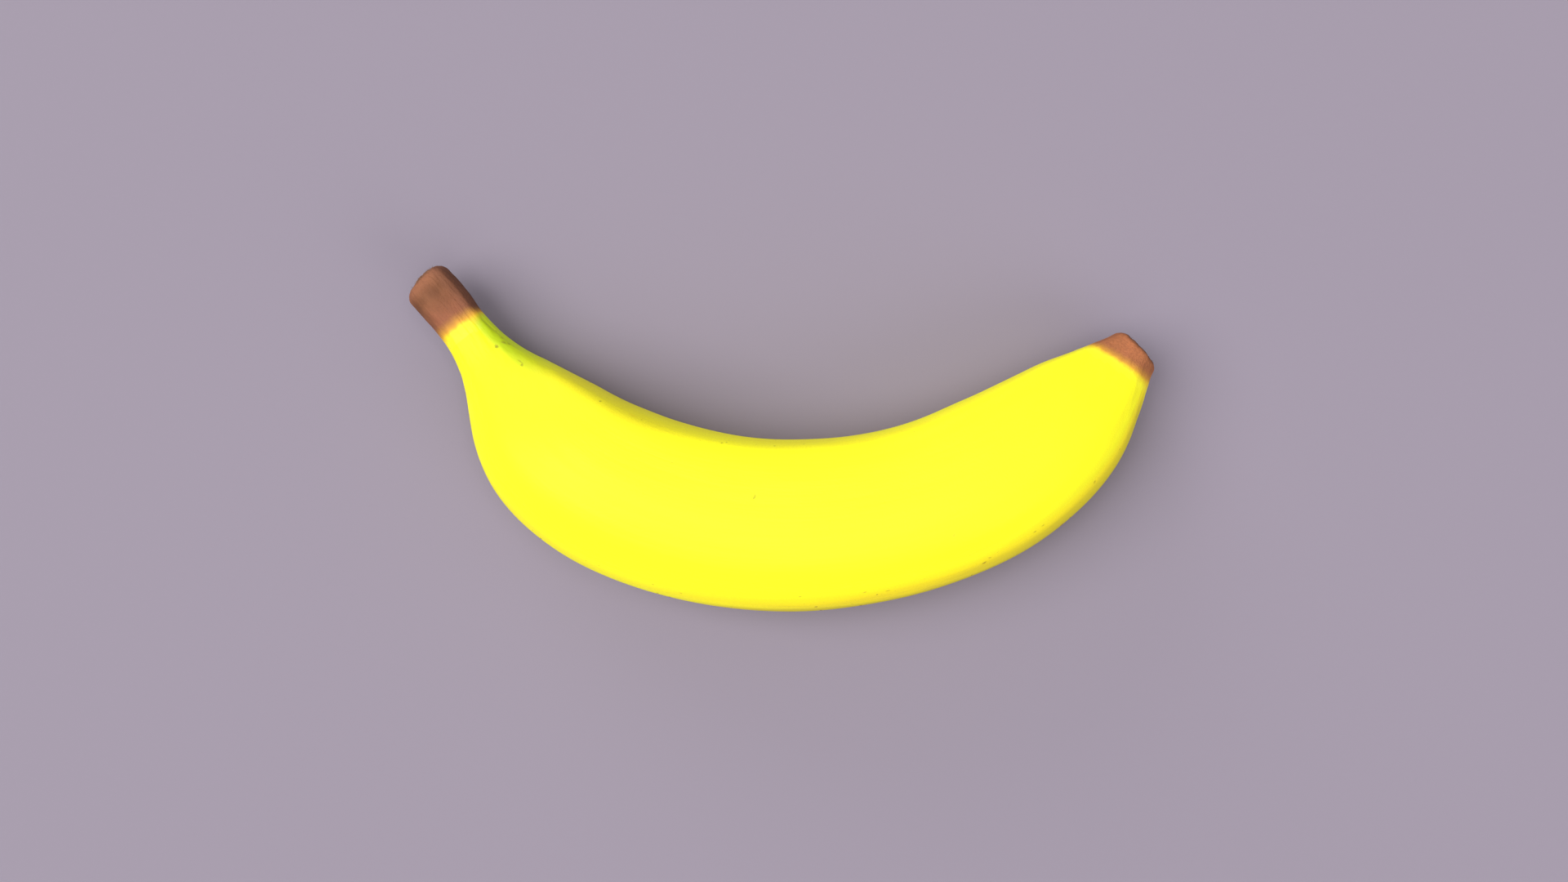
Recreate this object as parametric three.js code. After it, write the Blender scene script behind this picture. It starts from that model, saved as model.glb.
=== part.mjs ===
// A ripe banana lying on its side, in millimetres.
// +Z is up and the fruit's curve lies flat: the cut stem points to -X and +Y, the blossom end to
// +X and +Y, and the bulging outer side faces -Y. The origin is on the surface that the fruit lies
// on, under the middle of its bounding box. Peel, stem and blossom end grew as one piece, so the
// fruit is one closed mesh: five-sided sections swept along a curved middle line.
import * as THREE from "three";

// Driving dimensions.
const length = 197; // along the middle line, from the cut stem to the blossom end
const flatDepth = 0.3; // how much the weight flattens the underside where it rests
const stemEdge = 2.4; // radius of the worn edge round the cut stem
const stemDome = 0.6; // how far the cut face swells out
const tipEdge = 1.3; // radius of the rim round the blossom end
const tipDish = 0.7; // depth of the dried scar inside that rim
const tipNub = 0.5; // height of the flower's stub in the middle of the scar

// The fruit at places along its middle line.
// along: millimetres from the cut stem, with the blossom end at the last one
// heading: direction of the middle line, in degrees from +X towards +Y
// depth: half the width from the inner side to the outer side of the curve
// height: half the thickness up and down
// ridge: how far the section is from an oval (0) to five flat faces (1)
// under: how high the underside lies above the surface
const stations = [
  { along: 0, heading: -44.5, depth: 5.6, height: 5.0, ridge: 0.45, under: 8.6 },
  { along: 7, heading: -50, depth: 5.8, height: 5.1, ridge: 0.5, under: 8.4 },
  { along: 14, heading: -53, depth: 5.4, height: 5.1, ridge: 0.6, under: 7.9 },
  { along: 20.5, heading: -54, depth: 6.2, height: 5.9, ridge: 0.68, under: 6.6 },
  { along: 27, heading: -54, depth: 8.5, height: 8.2, ridge: 0.72, under: 4.2 },
  { along: 34, heading: -53, depth: 12.1, height: 11.4, ridge: 0.7, under: 2.0 },
  { along: 40.5, heading: -50, depth: 14.9, height: 13.9, ridge: 0.66, under: 0.8 },
  { along: 47, heading: -45, depth: 16.8, height: 15.6, ridge: 0.62, under: 0.2 },
  { along: 54, heading: -37, depth: 17.9, height: 16.7, ridge: 0.6, under: 0 },
  { along: 66, heading: -25, depth: 18.9, height: 17.4, ridge: 0.58, under: 0 },
  { along: 84, heading: -13, depth: 19.2, height: 17.7, ridge: 0.57, under: 0 },
  { along: 105, heading: 0, depth: 19.2, height: 17.7, ridge: 0.57, under: 0 },
  { along: 131, heading: 14.5, depth: 18.7, height: 17.3, ridge: 0.58, under: 0 },
  { along: 150, heading: 26.5, depth: 18.3, height: 16.7, ridge: 0.6, under: 0 },
  { along: 163, heading: 35, depth: 17.1, height: 15.5, ridge: 0.63, under: 0.5 },
  { along: 176.5, heading: 44, depth: 14.2, height: 12.9, ridge: 0.66, under: 2.2 },
  { along: 189.5, heading: 46.5, depth: 8.6, height: 8, ridge: 0.6, under: 6.2 },
  { along: length, heading: 45.5, depth: 5.2, height: 5.2, ridge: 0.45, under: 8.6 },
];

// The five faces of a section, by the direction they face: degrees from the outer side of the
// curve, over the top. Two outer faces meet in a keel, two sides face up and down, and one faces in.
const faces = [30, 93, 180, 267, 330].map(THREE.MathUtils.degToRad);
const edgeSharpness = 7; // higher makes crisper ridges between the faces
const ridgeTwist = THREE.MathUtils.degToRad(9); // how far the ridges wind round the whole fruit

// How fine the mesh is.
const sides = 48; // points round a section
const ringStep = 2.7; // distance between sections
const edgeSteps = 4; // sections round each end's edge
const spineStep = 0.5; // step for adding up the middle line
const blendReach = 3; // how far the sizes are averaged along the fruit, so that no station shows

// A monotone cubic through the stations, so that nothing overshoots between two of them.
function cubicThrough(key, along) {
  const last = stations.length - 1;
  const slope = (i) =>
    (stations[i + 1][key] - stations[i][key]) / (stations[i + 1].along - stations[i].along);
  const tangent = (i) => {
    if (i === 0) return slope(0);
    if (i === last) return slope(last - 1);
    const [before, after] = [slope(i - 1), slope(i)];
    if (before * after <= 0) return 0;
    return (2 * before * after) / (before + after);
  };
  const a = THREE.MathUtils.clamp(along, 0, length);
  let i = 0;
  while (i < last - 1 && stations[i + 1].along < a) i++;
  const span = stations[i + 1].along - stations[i].along;
  const t = (a - stations[i].along) / span;
  const rise = t * t * (3 - 2 * t);
  return (
    stations[i][key] * (1 - rise) +
    stations[i + 1][key] * rise +
    span * t * (1 - t) * (tangent(i) * (1 - t) - tangent(i + 1) * t)
  );
}

// The cubic averaged over a short stretch of the fruit.
function sizeAt(key, along) {
  const weights = [1, 2, 3, 2, 1];
  const total = weights.reduce((sum, w) => sum + w);
  return weights.reduce(
    (sum, w, k) => sum + (w / total) * cubicThrough(key, along + ((k - 2) / 2) * blendReach),
    0,
  );
}

// Points of the middle line seen from above, one every spineStep, added up from its heading.
function middleLine() {
  const points = [new THREE.Vector2(0, 0)];
  for (let a = 0; a < length; a += spineStep) {
    const heading = THREE.MathUtils.degToRad(sizeAt("heading", a + spineStep / 2));
    const step = new THREE.Vector2(Math.cos(heading), Math.sin(heading));
    points.push(points.at(-1).clone().addScaledVector(step, spineStep));
  }
  return points;
}

const spine = middleLine();

function spineAt(along) {
  const place = THREE.MathUtils.clamp(along / spineStep, 0, spine.length - 1);
  const i = Math.min(Math.floor(place), spine.length - 2);
  return spine[i].clone().lerp(spine[i + 1], place - i);
}

// How far the soft-edged outline of five faces, each one unit from the middle, reaches at an angle.
function faceReach(angle) {
  const sum = faces.reduce(
    (s, face) => s + Math.max(0, Math.cos(angle - face)) ** edgeSharpness,
    0,
  );
  return sum ** (-1 / edgeSharpness);
}

const keelOffset = (faceReach(0) - 1) / 2; // the keel reaches further out than the inner face

// One point of the outline of a section whose half-sizes are 1: x towards the outer side, y up.
function outlinePoint(angle, ridge, twist) {
  const reach = faceReach(angle - twist);
  const oval = new THREE.Vector2(Math.cos(angle), Math.sin(angle));
  const fiveSided = new THREE.Vector2(
    (reach * oval.x - keelOffset) / (1 + keelOffset),
    reach * oval.y,
  );
  return oval.lerp(fiveSided, ridge);
}

// The points of one section. out moves it beyond an end, and share shrinks it about its middle.
function ring({ along, out = 0, share = 1 }) {
  const heading = THREE.MathUtils.degToRad(sizeAt("heading", along));
  const centre = spineAt(along);
  centre.addScaledVector(new THREE.Vector2(Math.cos(heading), Math.sin(heading)), out);
  const outwards = new THREE.Vector2(Math.sin(heading), -Math.cos(heading));
  const [depth, height] = [sizeAt("depth", along), sizeAt("height", along)];
  const level = sizeAt("under", along) + height - flatDepth;
  const [ridge, twist] = [sizeAt("ridge", along), (along / length - 0.5) * ridgeTwist];
  return Array.from({ length: sides }, (_, k) => {
    const p = outlinePoint((k / sides) * 2 * Math.PI, ridge, twist);
    const flat = centre.clone().addScaledVector(outwards, p.x * depth * share);
    return new THREE.Vector3(flat.x, flat.y, Math.max(0, level + p.y * height * share));
  });
}

// The sections round a rounded edge, from the side of the fruit to its end face.
function edgeRings(end, sign, radius) {
  return Array.from({ length: edgeSteps + 1 }, (_, i) => {
    const turn = (i / edgeSteps) * (Math.PI / 2);
    const along = end - sign * radius * (1 - Math.sin(turn));
    const half = (sizeAt("depth", along) + sizeAt("height", along)) / 2;
    return { along, share: 1 - (radius * (1 - Math.cos(turn))) / half };
  });
}

// The sections of the whole fruit, from the middle of the cut stem to the middle of the scar.
function allRings() {
  const stem = edgeRings(0, -1, stemEdge);
  const tip = edgeRings(length, 1, tipEdge);
  const [stemFace, tipFace] = [stem.at(-1).share, tip.at(-1).share];
  const body = length - stemEdge - tipEdge;
  const count = Math.round(body / ringStep);
  return [
    ...[0.3, 0.6, 0.85].map((r) => ({
      along: 0,
      out: -stemDome * (1 - r * r),
      share: stemFace * r,
    })),
    ...stem.reverse(),
    ...Array.from({ length: count - 1 }, (_, i) => ({
      along: stemEdge + ((i + 1) / count) * body,
    })),
    ...tip,
    { along: length, out: -0.6 * tipDish, share: tipFace * 0.86 },
    { along: length, out: -tipDish, share: tipFace * 0.66 },
    { along: length, out: -tipDish, share: tipFace * 0.38 },
    { along: length, out: tipNub - tipDish, share: tipFace * 0.2 },
  ];
}

// The closed surface: every ring joined to the next, and each end drawn to one middle point.
function fruitGeometry() {
  const rings = allRings().map(ring);
  const middleOf = (points, out, along) => {
    const sum = points.reduce((s, p) => s.add(p), new THREE.Vector3());
    const heading = THREE.MathUtils.degToRad(sizeAt("heading", along));
    const ahead = new THREE.Vector3(Math.cos(heading), Math.sin(heading), 0);
    return sum.divideScalar(points.length).addScaledVector(ahead, out);
  };
  const points = [
    ...rings.flat(),
    middleOf(rings[0], -0.1 * stemDome, 0),
    middleOf(rings.at(-1), 0.1 * tipNub, length),
  ];
  const [stemMiddle, tipMiddle] = [points.length - 2, points.length - 1];
  const lastRing = (rings.length - 1) * sides;
  const triangles = [];
  for (let k = 0; k < sides; k++) {
    const next = (k + 1) % sides;
    triangles.push(stemMiddle, k, next);
    triangles.push(tipMiddle, lastRing + next, lastRing + k);
    for (let r = 0; r < rings.length - 1; r++) {
      const [here, there] = [r * sides, (r + 1) * sides];
      triangles.push(here + k, there + k, here + next);
      triangles.push(there + k, there + next, here + next);
    }
  }
  const geometry = new THREE.BufferGeometry().setFromPoints(points);
  geometry.setIndex(triangles);
  geometry.computeBoundingBox();
  const middle = geometry.boundingBox.getCenter(new THREE.Vector3());
  geometry.translate(-middle.x, -middle.y, -geometry.boundingBox.min.z);
  geometry.computeVertexNormals();
  return geometry;
}

const peel = new THREE.MeshStandardMaterial({ color: 0xf7e015, roughness: 0.45, metalness: 0 });
const banana = new THREE.Mesh(fruitGeometry(), peel);
banana.name = "banana";

const part = new THREE.Group();
part.add(banana);
export default part;
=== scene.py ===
# A ripe banana on its side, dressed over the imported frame: the peel with its soft ridges, the dried stem
# and blossom end, and the small corky flecks and torn fibres that stand out of it. Metres, +Z up.
import math
from functools import partial, reduce

import bpy
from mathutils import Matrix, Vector


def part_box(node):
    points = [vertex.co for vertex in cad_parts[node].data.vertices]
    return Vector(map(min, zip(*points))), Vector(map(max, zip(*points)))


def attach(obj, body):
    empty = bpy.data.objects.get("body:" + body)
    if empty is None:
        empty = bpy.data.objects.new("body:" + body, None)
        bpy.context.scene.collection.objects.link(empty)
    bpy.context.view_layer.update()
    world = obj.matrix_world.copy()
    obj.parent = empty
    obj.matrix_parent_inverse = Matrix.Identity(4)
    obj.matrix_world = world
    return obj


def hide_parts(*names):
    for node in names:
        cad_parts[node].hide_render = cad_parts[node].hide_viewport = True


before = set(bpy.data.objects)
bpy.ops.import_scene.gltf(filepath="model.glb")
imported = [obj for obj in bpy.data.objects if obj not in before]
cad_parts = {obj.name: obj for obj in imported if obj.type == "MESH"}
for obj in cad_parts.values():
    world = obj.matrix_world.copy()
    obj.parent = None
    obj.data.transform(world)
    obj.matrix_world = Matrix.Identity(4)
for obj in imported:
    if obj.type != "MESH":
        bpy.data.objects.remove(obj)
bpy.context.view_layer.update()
scene = bpy.context.scene
mm = 0.001


def linked(name, data):  # a new object in the scene
    made = bpy.data.objects.new(name, data)
    scene.collection.objects.link(made)
    return made


def feed(tree, socket, value):
    if isinstance(value, bpy.types.NodeSocket):
        tree.links.new(value, socket)
    else:
        socket.default_value = value


def addNode(tree, kind, inputs=None, **settings):
    node = tree.nodes.new(kind)
    for name, value in settings.items():
        setattr(node, name, value)
    for name, value in (inputs or {}).items():
        feed(tree, node.inputs[name], value)
    return node


def mathNode(tree, operation, *values):
    return addNode(tree, "ShaderNodeMath", dict(enumerate(values)), operation=operation).outputs[0]


def folded(tree, operation, *values):  # from the left, two at a time
    return reduce(partial(mathNode, tree, operation), values)


def vectorNode(tree, operation, *values):
    node = addNode(tree, "ShaderNodeVectorMath", dict(enumerate(values)), operation=operation)
    return node.outputs["Value" if operation in ("LENGTH", "DOT_PRODUCT") else "Vector"]


def scaledVector(tree, vector, factor):
    return addNode(tree, "ShaderNodeVectorMath", {0: vector, "Scale": factor}, operation="SCALE").outputs[0]


def joined(tree, x=0.0, y=0.0, z=0.0):
    return addNode(tree, "ShaderNodeCombineXYZ", {0: x, 1: y, 2: z}).outputs[0]


def split(tree, vector):
    return addNode(tree, "ShaderNodeSeparateXYZ", {0: vector}).outputs


def fade(tree, value, start, end, low=0.0, high=1.0):  # eases from low at start to high at end
    inputs = {"Value": value, "From Min": start, "From Max": end, "To Min": low, "To Max": high}
    return addNode(tree, "ShaderNodeMapRange", inputs, interpolation_type="SMOOTHSTEP").outputs[0]


def maths(tree):  # (any one node, a product of any number of values, an easing)
    return partial(mathNode, tree), partial(folded, tree, "MULTIPLY"), partial(fade, tree)


def blendFactor(tree, factor, a, b):  # numbers
    return addNode(tree, "ShaderNodeMix", {0: factor, 2: a, 3: b}, data_type="FLOAT").outputs[0]


def blendColour(tree, factor, a, b):
    return addNode(tree, "ShaderNodeMix", {0: factor, 6: a, 7: b}, data_type="RGBA").outputs[2]


def worked(tree, kind, geometry, **inputs):  # the geometry after one more node
    return addNode(tree, "GeometryNode" + kind, {"Geometry": geometry} | inputs).outputs[0]


def placeField(tree):
    return tree.nodes.new("GeometryNodeInputPosition").outputs[0]


def noiseOver(tree, vector, stretch, detail=2.0, roughness=0.5, shift=(0, 0, 0)):  # stretch: waves a metre
    moved = vectorNode(tree, "MULTIPLY_ADD", vector, stretch, shift)
    inputs = {"Vector": moved, "Scale": 1.0, "Detail": detail, "Roughness": roughness}
    return addNode(tree, "ShaderNodeTexNoise", inputs).outputs[0]


def newTree(name, kind, inputs, outputs):
    tree = bpy.data.node_groups.new(name, kind + "NodeTree")
    for side, sockets in (("INPUT", inputs), ("OUTPUT", outputs)):
        for socketName, socketKind in sockets.items():
            tree.interface.new_socket(socketName, in_out=side, socket_type="NodeSocket" + socketKind)
    return tree, tree.nodes.new("NodeGroupInput").outputs, tree.nodes.new("NodeGroupOutput").inputs


def colour(red, green, blue):  # linear
    return (red, green, blue, 1.0)


# the fruit's shape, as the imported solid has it
shape = {
    "length": 197 * mm,  # along the middle line
    "flatDepth": 0.3 * mm,  # flattened under its own weight
    "stemEdge": 2.4 * mm,
    "stemDome": 0.6 * mm,
    "tipEdge": 1.3 * mm,
    "tipDish": 0.7 * mm,
    "tipNub": 0.5 * mm,
    "faces": (30, 93, 180, 267, 330),  # directions that a section's five faces look in
    "edgeSharpness": 7,
    "crestSharpness": 60,  # of the thin line where two faces meet
    "ridgeTwist": 9,  # degrees over the whole fruit
    "blendReach": 3 * mm,
    "spineStep": 0.5 * mm,
}
stationKeys = ("along", "heading", "depth", "height", "ridge", "under")  # mm, degrees, share
stations = [
    (0, -44.5, 5.6, 5, 0.45, 8.6),
    (7, -50, 5.8, 5.1, 0.5, 8.4),
    (14, -53, 5.4, 5.1, 0.6, 7.9),
    (20.5, -54, 6.2, 5.9, 0.68, 6.6),
    (27, -54, 8.5, 8.2, 0.72, 4.2),
    (34, -53, 12.1, 11.4, 0.7, 2),
    (40.5, -50, 14.9, 13.9, 0.66, 0.8),
    (47, -45, 16.8, 15.6, 0.62, 0.2),
    (54, -37, 17.9, 16.7, 0.6, 0),
    (66, -25, 18.9, 17.4, 0.58, 0),
    (84, -13, 19.2, 17.7, 0.57, 0),
    (105, 0, 19.2, 17.7, 0.57, 0),
    (131, 14.5, 18.7, 17.3, 0.58, 0),
    (150, 26.5, 18.3, 16.7, 0.6, 0),
    (163, 35, 17.1, 15.5, 0.63, 0.5),
    (176.5, 44, 14.2, 12.9, 0.66, 2.2),
    (189.5, 46.5, 8.6, 8, 0.6, 6.2),
    (197, 45.5, 5.2, 5.2, 0.45, 8.6),
]


def cubicThrough(key, along):  # a monotone cubic through the stations, along in mm
    column = stationKeys.index(key)
    places = [row[0] for row in stations]
    values = [row[column] for row in stations]
    last = len(stations) - 1

    def slope(i):
        return (values[i + 1] - values[i]) / (places[i + 1] - places[i])

    def tangent(i):
        if i in (0, last):
            return slope(min(i, last - 1))
        before, after = slope(i - 1), slope(i)
        return 0 if before * after <= 0 else 2 * before * after / (before + after)

    a = min(max(along, 0), places[-1])
    i = max(k for k in range(last) if places[k] <= a)
    span = places[i + 1] - places[i]
    t = (a - places[i]) / span
    rise = t * t * (3 - 2 * t)
    bulge = span * t * (1 - t) * (tangent(i) * (1 - t) - tangent(i + 1) * t)
    return values[i] * (1 - rise) + values[i + 1] * rise + bulge


def sizeAt(key, along):  # along in metres; lengths come back in metres, headings in radians
    weights = (1, 2, 3, 2, 1)
    reach = shape["blendReach"] / mm
    mean = sum(
        weight * cubicThrough(key, along / mm + (k - 2) / 2 * reach) for k, weight in enumerate(weights)
    ) / sum(weights)
    unit = {"heading": math.radians(1), "ridge": 1}.get(key, mm)
    return mean * unit


def middleLine():
    points = [Vector((0, 0, 0))]
    step = shape["spineStep"]
    for i in range(math.ceil(shape["length"] / step)):
        heading = sizeAt("heading", (i + 0.5) * step)
        points.append(points[-1] + Vector((math.cos(heading), math.sin(heading), 0)) * step)
    return points


spine = middleLine()


def spineAt(along):
    place = min(max(along / shape["spineStep"], 0), len(spine) - 1)
    i = min(int(place), len(spine) - 2)
    return spine[i].lerp(spine[i + 1], place - i)


def faceReach(angle):
    sharpness = shape["edgeSharpness"]
    total = sum(max(0, math.cos(angle - math.radians(face))) ** sharpness for face in shape["faces"])
    return total ** (-1 / sharpness)


keelOffset = (faceReach(0) - 1) / 2


def twistAt(along):
    return (along / shape["length"] - 0.5) * math.radians(shape["ridgeTwist"])


def flowPoint(along, around):  # a place on the fruit if its curve were straightened: along, out, up
    ridge = sizeAt("ridge", along)
    reach = faceReach(around - twistAt(along))
    out = math.cos(around) * (1 - ridge) + ridge * (reach * math.cos(around) - keelOffset) / (1 + keelOffset)
    up = math.sin(around) * (1 - ridge + ridge * reach)
    return Vector((along, out * sizeAt("depth", along), up * sizeAt("height", along)))


def sectionMiddle(along, out):  # a section's middle, and the way its outer side faces
    heading = sizeAt("heading", along)
    ahead = Vector((math.cos(heading), math.sin(heading), 0))
    outwards = Vector((math.sin(heading), -math.cos(heading), 0))
    level = sizeAt("under", along) + sizeAt("height", along) - shape["flatDepth"]
    return spineAt(along) + ahead * out + Vector((0, 0, level)), outwards


def surfacePoint(along, around, out, share):  # before the fruit is moved to its place in the frame
    middle, outwards = sectionMiddle(along, out)
    _, sideways, up = flowPoint(along, around) * share
    return middle + outwards * sideways + Vector((0, 0, up))


# the peel's rings: their step, and how many round each end's edge and across each end
ringing = {"ringStep": 0.58 * mm, "edgeRings": 10, "faceRings": 12}


def endEdge(end, sign, radius):  # (along, out, share) round an end's edge, from the side to the end face
    rows = []
    for i in range(ringing["edgeRings"] + 1):
        turn = i / ringing["edgeRings"] * math.pi / 2
        along = end - sign * radius * (1 - math.sin(turn))
        half = (sizeAt("depth", along) + sizeAt("height", along)) / 2
        rows.append((along, 0, 1 - radius * (1 - math.cos(turn)) / half))
    return rows


def scarProfile(share):  # how far the blossom scar lies beyond the end, by share of its radius
    dish, nub = shape["tipDish"], shape["tipNub"]
    middle = [(0, nub * 1.1 - dish), (0.2, nub - dish), (0.38, -dish)]
    points = middle + [(0.66, -dish), (0.86, -0.6 * dish), (1, 0)]
    for (near, a), (far, b) in zip(points, points[1:]):
        if share <= far:
            t = (share - near) / (far - near)
            return a + (b - a) * t * t * (3 - 2 * t)
    return 0


def ringRows():  # (along, out, share, stem face, tip face) of every ring, from the cut to the scar
    length, edgeCount, faceCount = shape["length"], ringing["edgeRings"], ringing["faceRings"]
    stem, tip = endEdge(0, -1, shape["stemEdge"]), endEdge(length, 1, shape["tipEdge"])
    stemShare, tipShare = stem[-1][2], tip[-1][2]
    radii = [i / faceCount for i in range(faceCount)]
    rows = [(0, -shape["stemDome"] * (1 - r * r), stemShare * r, 1, 0) for r in radii]
    rows += [(*row, 1 - i / edgeCount, 0) for i, row in enumerate(reversed(stem))]
    start, end = shape["stemEdge"], length - shape["tipEdge"]
    count = round((end - start) / ringing["ringStep"])
    rows += [(start + (end - start) * i / count, 0, 1, 0, 0) for i in range(1, count)]
    rows += [(*row, 0, i / edgeCount) for i, row in enumerate(tip)]
    return rows + [(length, scarProfile(r), tipShare * r, 0, 1) for r in reversed(radii)]


def placeInFrame(rows):  # the move that centres the fruit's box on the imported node's
    turns = [math.radians(degrees) for degrees in range(0, 360, 6)]
    points = [surfacePoint(along, turn, out, share) for along, out, share, *_ in rows[::2] for turn in turns]
    low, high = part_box("banana")
    middle = [(min(p[i] for p in points) + max(p[i] for p in points)) / 2 for i in (0, 1)]
    return Vector(((low.x + high.x) / 2 - middle[0], (low.y + high.y) / 2 - middle[1], 0))


def ringMesh():  # a point for each ring, which carries the ring's sizes
    rings, rows = [], ringRows()
    shift = placeInFrame(rows)
    for along, out, share, stemFace, tipFace in rows:
        middle, facing = sectionMiddle(along, out)
        halves = sizeAt("depth", along) * share, sizeAt("height", along) * share, sizeAt("ridge", along)
        run, ends = (along + out, share, 0), (stemFace, tipFace, 0)
        rings.append((middle + shift, facing, halves, run, ends, twistAt(along)))
    middles, *columns, twists = zip(*rings)
    mesh = bpy.data.meshes.new("fruitRings")
    mesh.from_pydata(middles, [], [])
    for name, vectors in zip(("outwards", "halves", "run", "ends"), columns):
        attribute = mesh.attributes.new(name, "FLOAT_VECTOR", "POINT")
        attribute.data.foreach_set("vector", [number for vector in vectors for number in vector])
    mesh.attributes.new("twist", "FLOAT", "POINT").data.foreach_set("value", twists)
    return mesh


# the peel: sections spread over the rings, raised by their own relief
peel = {
    "Points Around": 236,
    "Ridge Sharpness": float(shape["edgeSharpness"]),
    "Unevenness": 0.3 * mm,  # slow swells of the whole fruit
    "Crest Height": 0.14 * mm,  # the thin line along each ridge
    "Rib Height": 0.15 * mm,  # lengthwise ribs of the neck and stem
    "Wrinkle Height": 0.09 * mm,  # shrivelling of the dried ends
    "Dried Depth": 0.1 * mm,  # how far the dried ends have shrunk
    "Cut Roughness": 0.3 * mm,  # the torn face of the stem
}
# a range runs from where a thing begins to where it is full: lengths from the cut, shares of a pattern, or
# places on the section, 1 outermost and on top, -1 innermost and underneath; two more say what it is at each
dryEdges = {  # where yellow turns to brown
    "stem": 13.8 * mm,  # from the cut
    "stemSlant": -0.3 * mm,  # how much further the brown reaches on the outer side
    "stemSoft": (-0.6, -0.95, 3 * mm, 1.65 * mm),  # half the width of the change
    "tip": 191.4 * mm,
    "tipSlant": 1.7 * mm,
    "tipSoft": 2.2 * mm,
    "wander": 1.1 * mm,
    "waves": (60, 240, 240),  # to a metre: along, outwards and up, as in all that follows
    "least": 0.0005,  # share of brown from which a face has the dried finish
}
greenNeck = {
    "begins": (8 * mm, 13 * mm),
    "ends": (42 * mm, 23 * mm),
    "inside": (-0.29, -0.7),
    "waves": (70, 160, 160),
    "ragged": 0.35,
    "below": (0.15, -0.7, 0, 0.6),
}
tints = {
    "clouds": (24, 75, 75),
    "cloudy": (0.35, 0.75, 0, 0.3),
    "outermost": (0.7, 0.9),
    "outerLine": (0.9, 1, 1, 0.6),  # where it thins out
    "sunny": (70 * mm, 120 * mm, 0.4, 0.95),
    # painted warmth underneath, standing in for the glow of the peel in shade
    "below": (-0.02, -0.4, 0, 0.8),
    "streaks": (60, 240, 240),  # where the ridges are worn
    "streaky": (0.45, 0.65),
    "low": (0.75, 0.2),
    "keelSide": (0.84, 0.97, 0, 0.7),
    "keel": (90 * mm, 130 * mm, 170 * mm, 186 * mm),  # ochre on the keel, partly wear and partly painted shade, from the second length to the third
    "bandSide": (-0.45, -0.72),
    "bandLine": (-0.84, -0.96, 1, 0.3),
    "innerShadeBand": (20 * mm, 34 * mm, 60 * mm, 88 * mm),  # painted shade: the olive band inside the curve, as the keel
}
relief = {
    "swells": (16, 58, 58),
    "ribs": (22, 560, 560),
    "wrinkles": (260, 900, 900),
    "tears": (900, 1500, 1500),
    "neck": (44 * mm, 15 * mm),
    "tail": (22 * mm, 6 * mm),  # from the blossom end
    "tailRibs": 0.6,  # as a share of the neck's, as the next
    "driedRibs": 0.45,
    "cutShare": 0.6,
}


def nearness(tree, angle, twist, directions, sharpness):  # 1 in each direction, falling to 0 on both sides
    calc = partial(mathNode, tree)

    def peak(degrees):
        turned = calc("COSINE", calc("SUBTRACT", calc("SUBTRACT", angle, twist), math.radians(degrees)))
        return calc("POWER", calc("MAXIMUM", turned, 0.0), sharpness)

    return folded(tree, "ADD", *map(peak, directions))


def sectionPlace(tree, angle, halves, twist, sharpness):  # (out, up) on a section whose half-sizes are 1
    calc, product, _ = maths(tree)
    total = nearness(tree, angle, twist, shape["faces"], sharpness)
    reach = calc("POWER", total, calc("DIVIDE", -1.0, sharpness))
    ridge = split(tree, halves)[2]
    ovalOut, ovalUp = calc("COSINE", angle), calc("SINE", angle)
    faceOut = calc("DIVIDE", calc("SUBTRACT", product(reach, ovalOut), keelOffset), 1 + keelOffset)
    faceUp = product(reach, ovalUp)
    return blendFactor(tree, ridge, ovalOut, faceOut), blendFactor(tree, ridge, ovalUp, faceUp)


def crestAt(tree, angle, twist):  # 1 on the lines where two faces meet, 0 between them
    faces = shape["faces"]
    crests = [(face + after) / 2 for face, after in zip(faces, faces[1:] + (faces[0] + 360,))]
    total = nearness(tree, angle, twist, crests, shape["crestSharpness"])
    return mathNode(tree, "MINIMUM", total, 1.0)


def namedField(tree, name, kind="FLOAT_VECTOR"):
    node = addNode(tree, "GeometryNodeInputNamedAttribute", {"Name": name}, data_type=kind)
    return node.outputs["Attribute"]


def between(tree, value, starts, full, fading, gone):  # 0 outside, 1 from full to fading
    rising = fade(tree, value, starts, full)
    return mathNode(tree, "MULTIPLY", rising, fade(tree, value, gone, fading))


def whereOnPeel(tree):  # (flow, along, out, up) of each point, the last two on the section
    flow = namedField(tree, "flow")
    side, upShare, _ = split(tree, namedField(tree, "section"))
    return flow, split(tree, flow)[0], side, upShare


def peelZones(tree):  # how far each point is stem brown, blossom brown and green, each 0 to 1
    calc, product, ease = maths(tree)
    flow, along, side, upShare = whereOnPeel(tree)
    wander = calc("SUBTRACT", noiseOver(tree, flow, dryEdges["waves"]), 0.5)
    shifted = calc("MULTIPLY_ADD", wander, dryEdges["wander"], along)
    leaning = calc("MULTIPLY_ADD", side, -dryEdges["stemSlant"], shifted)
    edge = dryEdges["stem"]
    soft = ease(side, *dryEdges["stemSoft"])
    stem = ease(leaning, calc("ADD", soft, edge), calc("SUBTRACT", edge, soft))
    leaning = calc("MULTIPLY_ADD", side, -dryEdges["tipSlant"], shifted)
    edge, soft = dryEdges["tip"], dryEdges["tipSoft"]
    tip = ease(leaning, edge - soft, edge + soft)

    neck = product(ease(along, *greenNeck["begins"]), ease(along, *greenNeck["ends"]))
    uneven = calc("SUBTRACT", noiseOver(tree, flow, greenNeck["waves"], 3.0), 0.5)
    inside = ease(calc("MULTIPLY_ADD", uneven, greenNeck["ragged"], side), *greenNeck["inside"])
    under = ease(upShare, *greenNeck["below"])
    return joined(tree, stem, tip, product(neck, calc("MAXIMUM", inside, under)))


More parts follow.
